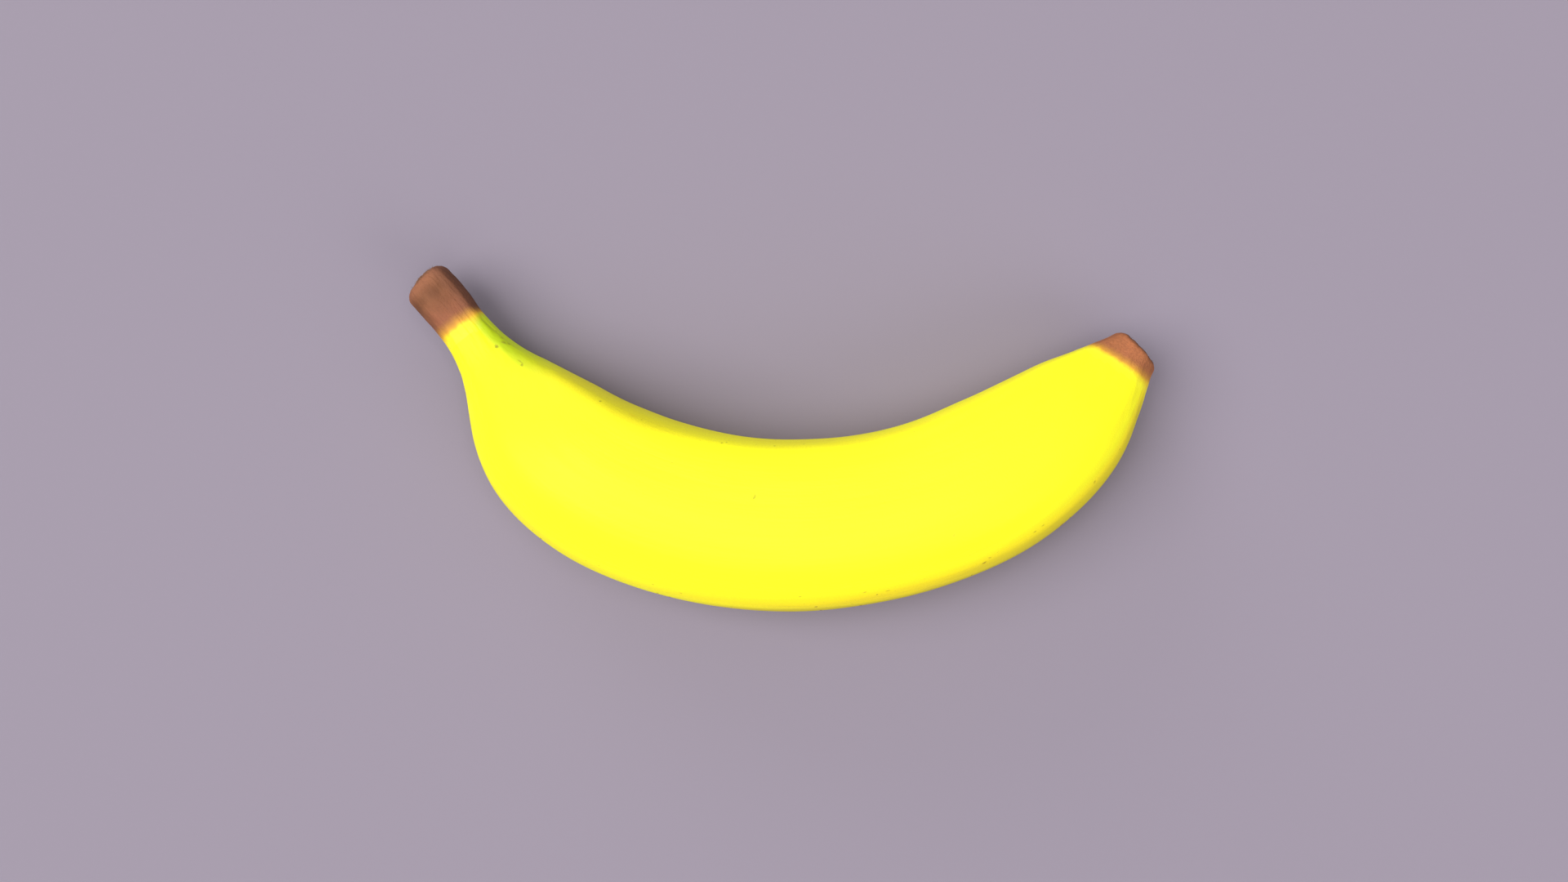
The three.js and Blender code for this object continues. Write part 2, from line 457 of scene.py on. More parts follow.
def peelTints(tree):  # butter yellow, with painted warmth underneath; wear, with painted shade along the keel; and the olive band of painted shade inside the curve, each 0 to 1
    calc, product, ease = maths(tree)
    flow, along, side, upShare = whereOnPeel(tree)
    clouds = noiseOver(tree, flow, tints["clouds"], 3.0, 0.6)
    blotches = ease(clouds, *tints["cloudy"])
    rising, line = ease(side, *tints["outermost"]), ease(side, *tints["outerLine"])
    sunny = ease(along, *tints["sunny"])
    # painted warmth underneath, standing in for the glow of the peel in shade
    below = ease(upShare, *tints["below"])
    butter = folded(tree, "MAXIMUM", blotches, product(rising, line, sunny), below)

    broken = ease(noiseOver(tree, flow, tints["streaks"], 3.0, 0.6), *tints["streaky"])
    ridges = product(namedField(tree, "crest", "FLOAT"), broken, ease(upShare, *tints["low"]))
    # a darker keel: painted shade along the outermost ridge, kept with the wear
    keel = product(ease(side, *tints["keelSide"]), between(tree, along, *tints["keel"]))
    # painted shade: the olive band inside the curve
    rising, line = ease(side, *tints["bandSide"]), ease(side, *tints["bandLine"])
    innerShadeBand = product(rising, line, between(tree, along, *tints["innerShadeBand"]))
    return joined(tree, butter, calc("MAXIMUM", ridges, keel), innerShadeBand)


def reliefHeight(tree, given):  # how far each point stands out of the plain sections
    calc, product, ease = maths(tree)
    flow, crest = namedField(tree, "flow"), namedField(tree, "crest", "FLOAT")
    along = split(tree, flow)[0]
    stemFace, tipFace, _ = split(tree, namedField(tree, "ends"))
    stem, tip, _ = split(tree, namedField(tree, "zones"))
    neck = ease(along, *relief["neck"])
    tail = ease(along, *[shape["length"] - reach for reach in relief["tail"]])
    onSide = calc("SUBTRACT", 1.0, calc("MAXIMUM", stemFace, tipFace))
    dry = calc("MAXIMUM", stem, tip)

    def swing(stretch, detail=2.0, shift=(0, 0, 0)):  # -1 to 1
        return ease(noiseOver(tree, flow, stretch, detail, 0.5, shift), 0.2, 0.8, -1.0, 1.0)

    swells = product(swing(relief["swells"]), given["Unevenness"])
    crestRise = product(crest, given["Crest Height"], onSide)
    ribHeight = product(given["Rib Height"], calc("MAXIMUM", neck, product(tail, relief["tailRibs"])))
    ribShare = product(onSide, calc("MULTIPLY_ADD", stem, relief["driedRibs"] - 1, 1.0))
    ribs = product(swing(relief["ribs"], 3.0), ribHeight, ribShare)
    dryShare = product(dry, calc("SUBTRACT", 1.0, stemFace))
    wrinkles = product(swing(relief["wrinkles"], 2.0, (3, 5, 7)), given["Wrinkle Height"], dryShare)
    shrink = product(dry, onSide, product(given["Dried Depth"], -1.0))
    cutShare = product(stemFace, relief["cutShare"])
    torn = product(swing(relief["tears"], 3.0, (9, 2, 4)), given["Cut Roughness"], cutShare)
    return folded(tree, "ADD", swells, crestRise, ribs, wrinkles, shrink, torn)


seamGap = 0.001 * mm  # points nearer than this are one


def buildSkinTree():
    inputs = {"Geometry": "Geometry"} | dict.fromkeys(peel, "Float") | {"Points Around": "Int"}
    inputs |= {"Material": "Material", "Dried Material": "Material"}
    tree, given, result = newTree("skinOverRings", "Geometry", inputs, {"Geometry": "Geometry"})
    calc, product, _ = maths(tree)
    size = addNode(tree, "GeometryNodeAttributeDomainSize", {"Geometry": given["Geometry"]})
    perRing = calc("ADD", given["Points Around"], 1.0)
    inputs = {"Vertices X": size.outputs["Point Count"], "Vertices Y": perRing}
    grid = addNode(tree, "GeometryNodeMeshGrid", inputs)
    index = tree.nodes.new("GeometryNodeInputIndex").outputs[0]
    ring = calc("FLOOR", calc("DIVIDE", calc("ADD", index, 0.5), perRing))
    column = calc("SUBTRACT", index, product(ring, perRing))
    angle = calc("DIVIDE", product(column, 2 * math.pi), given["Points Around"])

    def fromRing(value, kind="FLOAT_VECTOR"):  # a field of the ring that each point lies on
        value = namedField(tree, value, kind) if isinstance(value, str) else value
        inputs = {"Geometry": given["Geometry"], "Index": ring, "Value": value}
        return addNode(tree, "GeometryNodeSampleIndex", inputs, data_type=kind).outputs["Value"]

    middle, outwards, halves = fromRing(placeField(tree)), fromRing("outwards"), fromRing("halves")
    run, ends, twist = fromRing("run"), fromRing("ends"), fromRing("twist", "FLOAT")
    out, up = sectionPlace(tree, angle, halves, twist, given["Ridge Sharpness"])
    halfDepth, halfHeight, _ = split(tree, halves)
    along, share, _ = split(tree, run)
    outSize, upSize = product(out, halfDepth), product(up, halfHeight)
    place = vectorNode(tree, "ADD", middle, scaledVector(tree, outwards, outSize))
    place = vectorNode(tree, "ADD", place, joined(tree, z=upSize))

    def store(geometry, name, value, kind="FLOAT_VECTOR", domain="POINT"):
        inputs = {"Geometry": geometry, "Name": name, "Value": value}
        node = addNode(tree, "GeometryNodeStoreNamedAttribute", inputs, data_type=kind, domain=domain)
        return node.outputs[0]

    skin = store(grid.outputs["Mesh"], "OFBake", grid.outputs["UV Map"], "FLOAT2", "CORNER")
    skin = store(skin, "flow", joined(tree, along, outSize, upSize))
    skin = store(skin, "section", joined(tree, out, up, share))
    skin = store(skin, "ends", ends)
    outX, outY, _ = split(tree, outwards)
    skin = store(skin, "lengthwise", joined(tree, product(outY, -1.0), outX))
    skin = store(skin, "crest", crestAt(tree, angle, twist), "FLOAT")
    skin = worked(tree, "SetPosition", skin, Position=place)
    skin = worked(tree, "MergeByDistance", skin, Distance=seamGap)  # closes the seam and the ends' middles

    skin = store(skin, "zones", peelZones(tree))
    skin = store(skin, "tints", peelTints(tree))
    normal = tree.nodes.new("GeometryNodeInputNormal").outputs[0]
    skin = worked(tree, "SetPosition", skin, Offset=scaledVector(tree, normal, reliefHeight(tree, given)))
    x, y, z = split(tree, placeField(tree))
    pressed = joined(tree, x, y, calc("MAXIMUM", z, 0.0))  # pressed flat where it rests
    skin = worked(tree, "SetPosition", skin, Position=pressed)
    skin = worked(tree, "SetShadeSmooth", skin)
    skin = worked(tree, "RealizeInstances", skin)
    skin = worked(tree, "SetMaterial", skin, Material=given["Material"])
    stem, tip, _ = split(tree, namedField(tree, "zones"))
    dried = calc("GREATER_THAN", calc("ADD", stem, tip), dryEdges["least"])
    skin = worked(tree, "SetMaterial", skin, Selection=dried, Material=given["Dried Material"])
    feed(tree, result["Geometry"], skin)
    return tree


def runTree(name, mesh, tree, values):  # the tree's result over mesh, as a plain object at the origin
    source = linked(name + "Source", mesh)
    modifier = source.modifiers.new("shape", "NODES")
    modifier.node_group = tree
    for item in tree.interface.items_tree:
        if item.in_out == "INPUT" and item.name in values:
            modifier[item.identifier] = values[item.name]
    bpy.context.view_layer.update()
    evaluated = source.evaluated_get(bpy.context.evaluated_depsgraph_get())
    made = bpy.data.meshes.new_from_object(evaluated)
    made.name = name
    source.modifiers.remove(modifier)
    bpy.data.objects.remove(source)
    triangles = sum(len(face.vertices) - 2 for face in made.polygons)
    print(name + ":", len(made.vertices), "points,", triangles, "triangles")
    return linked(name, made)


def newMaterial(name, settings):
    material = bpy.data.materials.new(name)
    material.use_nodes = True
    shader = material.node_tree.nodes["Principled BSDF"]
    for socket, value in settings.items():
        shader.inputs[socket].default_value = value
    return material, material.node_tree, shader


def placed(tree, group, inputs):  # a shared effect, with a finish's own values
    return addNode(tree, "ShaderNodeGroup", inputs, node_tree=group).outputs


def patterned(tree, group, vector, sizes):
    return placed(tree, group, {"Vector": vector} | sizes)["Height"]


def attributeOf(tree, name, outlet="Vector"):
    return addNode(tree, "ShaderNodeAttribute", attribute_name=name).outputs[outlet]


def finished(tree, shader, base, roughness, height):  # height in millimetres
    bump = addNode(tree, "ShaderNodeBump", {"Strength": 1.0, "Distance": mm, "Height": height})
    values = {"Base Color": base, "Roughness": roughness, "Normal": bump.outputs[0]}
    for socket, value in values.items():
        feed(tree, shader.inputs[socket], value)


# shares of the spacing, then of the spot
speckShape = {"ragged": 0.16, "soft": 0.08, "least": 0.3, "core": 0.6, "halo": 2}


def buildSpecks():  # spots of random size, one or none to a cell of the spacing, each with a halo
    inputs = {"Vector": "Vector", "Spacing": "Float", "Size": "Float", "Amount": "Float"}
    tree, given, result = newTree("specks", "Shader", inputs, {"Mask": "Float", "Halo": "Float"})
    calc, product, ease = maths(tree)
    vector = scaledVector(tree, given["Vector"], calc("DIVIDE", 1.0, given["Spacing"]))
    ragged = product(noiseOver(tree, vector, (6, 6, 6), 1.0), speckShape["ragged"])
    cells = addNode(tree, "ShaderNodeTexVoronoi", {"Vector": vector, "Scale": 1.0}).outputs
    size, chance, _ = split(tree, cells["Color"])
    least = speckShape["least"]
    radius = product(given["Size"], calc("MULTIPLY_ADD", size, 1 - least, least))
    there = calc("LESS_THAN", chance, given["Amount"])
    distance = calc("ADD", cells["Distance"], ragged)
    edge = calc("ADD", radius, speckShape["soft"])
    spot = ease(distance, edge, product(edge, speckShape["core"]))
    halo = ease(distance, product(edge, speckShape["halo"]), edge)
    feed(tree, result["Mask"], product(spot, there))
    feed(tree, result["Halo"], product(halo, there))
    return tree


def buildPattern(name, sizes, detail, low, high):  # sizes: one for each axis
    inputs = {"Vector": "Vector"} | dict.fromkeys(sizes, "Float")
    tree, given, result = newTree(name, "Shader", inputs, {"Height": "Float"})
    stretch = joined(tree, *[mathNode(tree, "DIVIDE", 1.0, given[size]) for size in sizes])
    pattern = noiseOver(tree, given["Vector"], stretch, detail, 0.6)
    feed(tree, result["Height"], fade(tree, pattern, low, high))
    return tree


markSides = ("Long Axis", "Short Axis", "Deep Axis")


def buildMark():  # one ragged spot, measured along three axes from its place
    inputs = dict.fromkeys(("Vector", "Place", *markSides), "Vector") | {"Ragged": "Float"}
    tree, given, result = newTree("mark", "Shader", inputs, {"Mask": "Float"})
    offset = vectorNode(tree, "SUBTRACT", given["Vector"], given["Place"])
    measures = [vectorNode(tree, "DOT_PRODUCT", offset, given[axis]) for axis in markSides]
    distance = vectorNode(tree, "LENGTH", joined(tree, *measures))
    feed(tree, result["Mask"], fade(tree, mathNode(tree, "ADD", distance, given["Ragged"]), 1.5, 0.15))
    return tree


specks, mark = buildSpecks(), buildMark()
fibres = buildPattern("fibres", ("Length", "Width", "Width"), 2.0, 0.25, 0.75)  # threads run with the fruit
grain = buildPattern("grain", ("Size", "Size", "Size"), 1.0, 0.3, 0.7)
print("effects: specks, fibres, grain and marks")

markDeep = 3 * mm  # how far into the fruit a mark's colour reaches
marks = [  # mm along, degrees around, mm long, mm wide, degrees turned, strength, mm sunk
    (22.8, 121, 0.95, 0.85, 0, 0.75, 0.03),
    (23.1, 133, 1.4, 0.6, 25, 0.6, 0),
    (24, 137, 0.9, 0.6, 0, 0.55, 0),
    (21.9, 138, 0.75, 0.5, 60, 0.5, 0),
    (29.9, 124, 0.75, 0.6, 0, 0.7, 0.02),
    (29.1, 126, 1.6, 0.35, 10, 0.5, 0.02),
    (27.6, 117, 0.75, 0.35, 0, 0.3, 0),
    (97.2, 108.7, 2, 0.95, 62, 0.65, 0.05),
    (96.8, 112, 0.95, 0.6, 90, 0.4, 0),
    (97.1, 105, 0.8, 0.5, 20, 0.3, 0),
    (73.6, 120.5, 5.3, 0.28, -2, 0.3, 0.03),
    (76.2, 120, 0.95, 0.45, 8, 0.5, 0.03),
    (106, 120, 0.6, 0.5, 0, 0.3, 0),
    (50.6, 137, 0.75, 0.6, 0, 0.6, 0),
    (87.2, 141, 0.75, 0.6, 30, 0.5, 0),
    (88.4, 143, 0.6, 0.5, 0, 0.4, 0),
    (101.5, 146, 0.9, 0.5, 0, 0.5, 0),
    (109.3, 150, 0.75, 0.5, 0, 0.45, 0),
    (84.9, 22, 0.6, 0.5, 0, 0.4, 0),
    (119.8, 32, 0.75, 0.5, 30, 0.45, 0),
    (124.2, 28, 0.9, 0.6, 0, 0.5, 0),
    (139.2, 66, 1.2, 0.9, 40, 0.45, 0.02),
    (143.3, 25, 1.1, 0.75, 35, 0.7, 0.03),
    (144.6, 29, 0.6, 0.5, 0, 0.5, 0),
    (154.4, 31, 0.75, 0.6, 0, 0.5, 0),
    (156.3, 32, 0.6, 0.5, 0, 0.45, 0),
    (169.2, 29, 1.1, 0.6, 80, 0.5, 0),
]


def markAxes(along, around, length, width, turn):
    nudge = math.radians(2)
    across = (flowPoint(along, around + nudge) - flowPoint(along, around - nudge)).normalized()
    ahead = Vector((1, 0, 0))
    longWay = ahead * math.cos(turn) + across * math.sin(turn)
    shortWay = across * math.cos(turn) - ahead * math.sin(turn)
    return longWay * 2 / length, shortWay * 2 / width, ahead.cross(across) / markDeep


def markNodes(tree, flow):  # (how far the marks colour the peel, how far they sink it in mm)
    calc, product, _ = maths(tree)
    ragged = calc("MULTIPLY_ADD", noiseOver(tree, flow, (2600, 2600, 2600), 1.0), 1.2, -0.6)
    coloured = sunk = 0.0
    for along, around, length, width, turn, strength, depth in marks:
        around = math.radians(around)
        axes = markAxes(along * mm, around, length * mm, width * mm, math.radians(turn))
        inputs = {"Vector": flow, "Place": flowPoint(along * mm, around), "Ragged": ragged}
        inputs |= dict(zip(markSides, axes))
        mask = placed(tree, mark, inputs)["Mask"]
        coloured = calc("MAXIMUM", coloured, product(mask, strength))
        if depth:
            sunk = calc("MULTIPLY_ADD", mask, depth, sunk)
    return coloured, sunk


peelLook = {
    "lemon": colour(0.85, 0.825, 0.014),
    "butter": colour(0.86, 0.69, 0.01),
    "green": colour(0.325, 0.415, 0.008),
    "paintedLightLime": colour(0.57, 0.70, 0.01),  # a lighter green on the innermost line: painted light where the floor shades it
    "olive": colour(0.6, 0.53, 0.015),
    "ochre": colour(0.62, 0.42, 0.012),
    "keel": colour(0.58, 0.48, 0.012),  # the outermost ridge, darker: partly its own tint, partly painted shade
    "scuff": colour(0.4, 0.23, 0.05),
    "speck": colour(0.22, 0.15, 0.02),
    "freckle": colour(0.16, 0.075, 0.02),
    "oliveMark": colour(0.17, 0.145, 0.016),
    "warmMark": colour(0.30, 0.16, 0.02),
    "threadTint": 0.1,  # how strongly each colours the peel, as the shares below
    "edgeMottleAndShadeTint": 0.22,
    "innerShadeTint": 0.65,
    "wearAndShadeTint": 0.35,
    "scuffTint": 0.5,
    "keelTint": 0.8,
    "speckTint": 0.55,
    "haloTint": 0.3,
    "freckleTint": 0.8,
    "keelBand": (120 * mm, 165 * mm, 186 * mm, 192 * mm),  # full from the second length to the third
    "keelLine": (80 * mm, 105 * mm, 182 * mm, 190 * mm),
    "keelBandSide": (0.83, 0.93),  # ranges, as the tints have them
    "keelLineSide": (0.95, 0.985),
    "limeSide": (-0.8, -0.94),
    "innerSide": (-0.55, -0.95),
    "outerSide": (0.6, 0.98),
    "warmSide": (-0.2, 0.5),
    "topSpecks": (0.9, 0.35, 0.1, 1),  # fewer on the side that lies uppermost
    "scuffed": (0.62, 0.85),  # how deep a scratch is
    "roughness": 0.44,
    "threadRoughness": 0.07,  # more of it
    "markRoughness": 0.2,
    "threads": {"Length": 38 * mm, "Width": 1.3 * mm},
    "scratches": {"Length": 5 * mm, "Width": 0.28 * mm},
    "grains": {"Size": 0.42 * mm},
    "specks": {"Spacing": 1.5 * mm, "Size": 0.16},  # sizes as shares of the spacing
    "freckles": {"Spacing": 5.5 * mm, "Size": 0.09},
    "speckShares": (0.22, 0.35),  # of the places that have one: the least, and more where the peel is busy
    "freckleShares": (0.12, 0.22),
    "threadDepth": 0.028,  # mm, as the depths below
    "scratchDepth": 0.008,
    "grainDepth": 0.012,
}
driedLook = {
    "fringe": colour(0.62, 0.31, 0.024),  # where yellow turns to brown
    "turning": 0.6,  # share of the change that each of its two steps takes
    "raggedness": 0.3,
    "stemTan": colour(0.178, 0.069, 0.03),
    "stemBrown": colour(0.118, 0.043, 0.018),
    "stemRimHighlight": colour(0.24, 0.092, 0.045),  # a painted highlight round the cut
    "stemRose": colour(0.222, 0.077, 0.038),  # next to the yellow
    "stemShade": colour(0.122, 0.046, 0.025),  # on the inner side
    "rose": (4 * mm, 11 * mm),
    "roseClouds": 0.6,  # how far the clouds hide it
    "rim": (4.5 * mm, 0.5 * mm, 0, 0.8),
    "shade": (-0.3, -0.9, 0, 0.75),
    "clouds": (110, 220, 220),  # waves to a metre
    "cutFace": (0.55, 0.95),
    "scarFace": (0.3, 0.9),
    "bundleReach": (0.86, 0.7),  # shares of the cut's radius
    "stemCut": colour(0.17, 0.085, 0.045),
    "bundle": colour(0.05, 0.022, 0.012),  # the cut ends of the stem's threads
    "tipClay": colour(0.338, 0.114, 0.044),
    "tipBrown": colour(0.285, 0.099, 0.037),
    "tipScar": colour(0.085, 0.038, 0.02),
    "streak": colour(0.13, 0.05, 0.028),
    "streaks": (0.5, 0.1, 0, 0.13),
    "grainTint": 0.18,
    "roughness": 0.78,
    "threads": {"Length": 9 * mm, "Width": 0.7 * mm},
    "grains": {"Size": 0.5 * mm},
    "bundles": {"Spacing": 0.75 * mm, "Size": 0.34, "Amount": 0.75},
    "threadDepth": 0.06,  # mm, as the depths below
    "grainDepth": 0.05,
    "bundleDepth": 0.12,
}


def buildYellowPeel():  # the ripe skin, up to where it has dried
    inputs = dict.fromkeys(("Flow", "Section", "Zones", "Tints"), "Vector") | {"Crest": "Float"}
    outputs = {"Color": "Color", "Roughness": "Float", "Height": "Float"}
    tree, given, result = newTree("yellowPeel", "Shader", inputs, outputs)
    look = peelLook
    calc, product, ease = maths(tree)
    mix = partial(blendColour, tree)
    flow, crest = given["Flow"], given["Crest"]
    side, upShare, _ = split(tree, given["Section"])
    along, greening = split(tree, flow)[0], split(tree, given["Zones"])[2]
    butter, wearAndShade, innerShadeBand = split(tree, given["Tints"])
    threads = patterned(tree, fibres, flow, look["threads"])
    scratches = patterned(tree, fibres, flow, look["scratches"])
    grains = patterned(tree, grain, flow, look["grains"])
    nearEdge = calc("MAXIMUM", ease(side, *look["innerSide"]), ease(side, *look["outerSide"]))

    def tinted(base, name, mask, amount=1.0):
        return mix(product(mask, amount), base, look[name])

    base = mix(butter, look["lemon"], look["butter"])
    base = tinted(base, "olive", threads, look["threadTint"])
    # painted shade: olive towards the inner and outer edges, partly the peel's own mottling, and the olive
    # band inside the curve
    edgeMottleAndShade, inside = product(nearEdge, grains), product(innerShadeBand, look["innerShadeTint"])
    base = tinted(base, "olive", calc("MULTIPLY_ADD", edgeMottleAndShade, look["edgeMottleAndShadeTint"], inside))
    # ochre wear on the ridges, and painted shade along the keel
    base = tinted(base, "ochre", wearAndShade, look["wearAndShadeTint"])
    scuffs = product(ease(scratches, *look["scuffed"]), wearAndShade)
    base = tinted(base, "scuff", scuffs, look["scuffTint"])
    # painted shade: the outermost ridge darkened towards the blossom end
    keelBand = product(ease(side, *look["keelBandSide"]), between(tree, along, *look["keelBand"]))
    keelLine = product(ease(side, *look["keelLineSide"]), between(tree, along, *look["keelLine"]))
    base = tinted(base, "keel", calc("MAXIMUM", product(keelBand, look["keelTint"]), keelLine))
    # painted light: the green lightened on its innermost line
    green = mix(ease(side, *look["limeSide"]), look["green"], look["paintedLightLime"])
    base = mix(greening, base, green)

    shy = ease(upShare, *look["topSpecks"])
    busy = folded(tree, "MAXIMUM", nearEdge, crest, greening)
    drawnOut = vectorNode(tree, "MULTIPLY", flow, (0.6, 1, 1))  # specks are longer than they are wide

    def speckled(sizes, least, added):
        amount = product(shy, calc("MULTIPLY_ADD", busy, added, least))
        return placed(tree, specks, {"Vector": drawnOut, "Amount": amount} | sizes)

    fine = speckled(look["specks"], *look["speckShares"])
    coarse = speckled(look["freckles"], *look["freckleShares"])
    base = tinted(base, "speck", fine["Mask"], look["speckTint"])
    base = tinted(base, "ochre", coarse["Halo"], look["haloTint"])
    base = tinted(base, "freckle", coarse["Mask"], look["freckleTint"])
    markShare, sunk = markNodes(tree, flow)
    markColour = mix(ease(side, *look["warmSide"]), look["oliveMark"], look["warmMark"])
    base = mix(markShare, base, markColour)

    height = product(threads, look["threadDepth"])
    height = calc("MULTIPLY_ADD", scratches, look["scratchDepth"], height)
    height = calc("MULTIPLY_ADD", grains, look["grainDepth"], height)
    roughness = calc("MULTIPLY_ADD", threads, look["threadRoughness"], look["roughness"])
    feed(tree, result["Color"], base)
    roughness = calc("MULTIPLY_ADD", markShare, look["markRoughness"], roughness)
    feed(tree, result["Roughness"], roughness)
    feed(tree, result["Height"], calc("SUBTRACT", height, sunk))
    return tree


yellowPeel = buildYellowPeel()


def onPeel(tree):  # the shared skin, fed from what the peel's points carry
    names = ("flow", "section", "zones", "tints")
    inputs = {name.capitalize(): attributeOf(tree, name) for name in names}
    inputs["Crest"] = attributeOf(tree, "crest", "Fac")
    return placed(tree, yellowPeel, inputs)


def makePeelSkin():
    material, tree, shader = newMaterial("peelSkin", {"Specular IOR Level": 0.1})
    skin = onPeel(tree)
    finished(tree, shader, skin["Color"], skin["Roughness"], skin["Height"])
    return material


def stemColour(tree, along, side, cloud):  # the brown neck, with a painted highlight by the cut, and lighter by the yellow
    look = driedLook
    calc, product, ease = maths(tree)
    mix = partial(blendColour, tree)
    stem = mix(cloud, look["stemTan"], look["stemBrown"])
    rose = product(ease(along, *look["rose"]), calc("MULTIPLY_ADD", cloud, -look["roseClouds"], 1.0))
    stem = mix(rose, stem, look["stemRose"])
    # painted highlight round the cut
    stem = mix(ease(along, *look["rim"]), stem, look["stemRimHighlight"])
    return mix(ease(side, *look["shade"]), stem, look["stemShade"])


def makeDriedSkin():  # the brown ends, and the soft edge where each meets the yellow
    material, tree, shader = newMaterial("driedSkin", {"Specular IOR Level": 0.2})
    look, skin = driedLook, onPeel(tree)
    calc, product, ease = maths(tree)
    mix = partial(blendColour, tree)
    flow = attributeOf(tree, "flow")
    stemShare, tipShare, _ = split(tree, attributeOf(tree, "zones"))
    stemFace, tipFace, _ = split(tree, attributeOf(tree, "ends"))
    side, _, share = split(tree, attributeOf(tree, "section"))
    threads = patterned(tree, fibres, flow, look["threads"])
    grains = patterned(tree, grain, flow, look["grains"])
    cloud = ease(noiseOver(tree, flow, look["clouds"], 2.0, 0.6), 0.3, 0.7)

    bundles = placed(tree, specks, {"Vector": flow} | look["bundles"])["Mask"]
    bundles = product(bundles, ease(share, *look["bundleReach"]))
    cut = mix(threads, look["stemCut"], look["stemTan"])
    cut = mix(bundles, cut, look["bundle"])
    stem = stemColour(tree, split(tree, flow)[0], side, cloud)
    stem = mix(ease(stemFace, *look["cutFace"]), stem, cut)
    blossom = mix(cloud, look["tipClay"], look["tipBrown"])
    blossom = mix(ease(tipFace, *look["scarFace"]), blossom, look["tipScar"])
    brown = mix(tipShare, stem, blossom)
    brown = mix(ease(threads, *look["streaks"]), brown, look["streak"])
    brown = mix(product(grains, look["grainTint"]), brown, look["streak"])
    height = product(threads, look["threadDepth"])
    height = calc("MULTIPLY_ADD", grains, look["grainDepth"], height)
    height = calc("MULTIPLY_ADD", product(bundles, stemFace), -look["bundleDepth"], height)

    dry = calc("ADD", stemShare, tipShare)
    changing = product(dry, calc("SUBTRACT", 1.0, dry))
    ragged = product(calc("SUBTRACT", threads, 0.5), changing)
    dry = calc("MULTIPLY_ADD", ragged, look["raggedness"], dry)
    turning = look["turning"]
    fringe = mix(calc("DIVIDE", dry, turning), skin["Color"], look["fringe"])
    turned = calc("MAXIMUM", calc("DIVIDE", calc("SUBTRACT", dry, 1 - turning), turning), 0.0)
    roughness = blendFactor(tree, dry, skin["Roughness"], look["roughness"])
    height = blendFactor(tree, dry, skin["Height"], height)
    finished(tree, shader, mix(turned, fringe, brown), roughness, height)
    return material


skins = {"Material": makePeelSkin(), "Dried Material": makeDriedSkin()}
print("finishes:", ", ".join(material.name for material in skins.values()))
bananaPeel = runTree("bananaPeel", ringMesh(), buildSkinTree(), peel | skins)
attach(bananaPeel, "root")
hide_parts("banana")


variantCount = 5


def shapeVariants(tree, makeShape, bend):  # uneven versions of one small shape, to be picked from
    together = tree.nodes.new("GeometryNodeJoinGeometry")
    for i in range(variantCount):
        place = vectorNode(tree, "ADD", placeField(tree), (7.3 * i, 0, 0))
        inputs = {"Vector": place, "Scale": 1.1, "Detail": 1.0}
        uneven = addNode(tree, "ShaderNodeTexNoise", inputs).outputs["Color"]
        offset = scaledVector(tree, vectorNode(tree, "SUBTRACT", uneven, (0.5, 0.5, 0.5)), bend)
        bent = worked(tree, "SetPosition", makeShape(tree), Offset=offset)
        bent = worked(tree, "SetShadeSmooth", bent)
        single = addNode(tree, "GeometryNodeGeometryToInstance", {0: bent}).outputs[0]
        feed(tree, together.inputs[0], single)
    return together.outputs[0]


def buildScatterTree(name, sizes, weigh, makeShape):  # small shapes stood on the peel where weigh is 1
    inputs = {"Geometry": "Geometry"} | dict.fromkeys(sizes, "Float")
    inputs |= {"Seed": "Int", "Material": "Material"}
    tree, given, result = newTree(name, "Geometry", inputs, {"Geometry": "Geometry"})
    calc, product, _ = maths(tree)

    def randomValue(kind, low, high, shift):
        first, outlet = {"FLOAT_VECTOR": (0, 0), "FLOAT": (2, 1), "INT": (4, 2)}[kind]
        inputs = {first: low, first + 1: high, "Seed": calc("ADD", given["Seed"], float(shift))}
        return addNode(tree, "FunctionNodeRandomValue", inputs, data_type=kind).outputs[outlet]

    density = product(given["Density"], weigh(tree))
    inputs = {"Mesh": given["Geometry"], 4: density, "Seed": given["Seed"]}
    scattered = addNode(tree, "GeometryNodeDistributePointsOnFaces", inputs, distribute_method="RANDOM")
    points, _, upright = scattered.outputs[:3]
    tone = randomValue("FLOAT", 0.0, 1.0, 1)
    points = worked(tree, "StoreNamedAttribute", points, Name="tone", Value=tone)

    inputs = {"Rotation": upright, "Vector": namedField(tree, "lengthwise")}
    facing = addNode(tree, "FunctionNodeAlignRotationToVector", inputs, axis="X", pivot_axis="Z")
    high = joined(tree, given["Lean"], given["Lean"], given["Spin"])
    turn = randomValue("FLOAT_VECTOR", scaledVector(tree, high, -1.0), high, 2)
    turn = addNode(tree, "FunctionNodeEulerToRotation", {"Euler": turn}).outputs[0]
    inputs = {"Rotation": facing.outputs[0], "Rotate By": turn}
    rotation = addNode(tree, "FunctionNodeRotateRotation", inputs, rotation_space="LOCAL").outputs[0]
    size = randomValue("FLOAT", given["Least Size"], given["Most Size"], 3)
    length, height = product(size, given["Stretch"]), product(size, given["Height"])

    inputs = {"Points": points, "Instance": shapeVariants(tree, makeShape, given["Bend"])}
    inputs |= {"Pick Instance": True, "Instance Index": randomValue("INT", 0, variantCount - 1, 4)}
    inputs |= {"Rotation": rotation, "Scale": joined(tree, length, size, height)}
    shapes = addNode(tree, "GeometryNodeInstanceOnPoints", inputs).outputs[0]
    shapes = worked(tree, "RealizeInstances", shapes)
    shapes = worked(tree, "SetMaterial", shapes, Material=given["Material"])
    feed(tree, result["Geometry"], shapes)
    return tree


flecks = {
    "fromStem": (15 * mm, 19 * mm),
    "fromTip": (189 * mm, 184 * mm),
    "side": (0.5, -0.05, 0.02, 1),  # hardly any on top
    "raised": (1.2 * mm, 3 * mm),  # none where it rests
    "neck": (50 * mm, 25 * mm, 0, 0.6),
    "awayShare": 0.25,  # between the ridges
    "waves": (70, 110, 110),
    "patches": (0.45, 0.6),
}


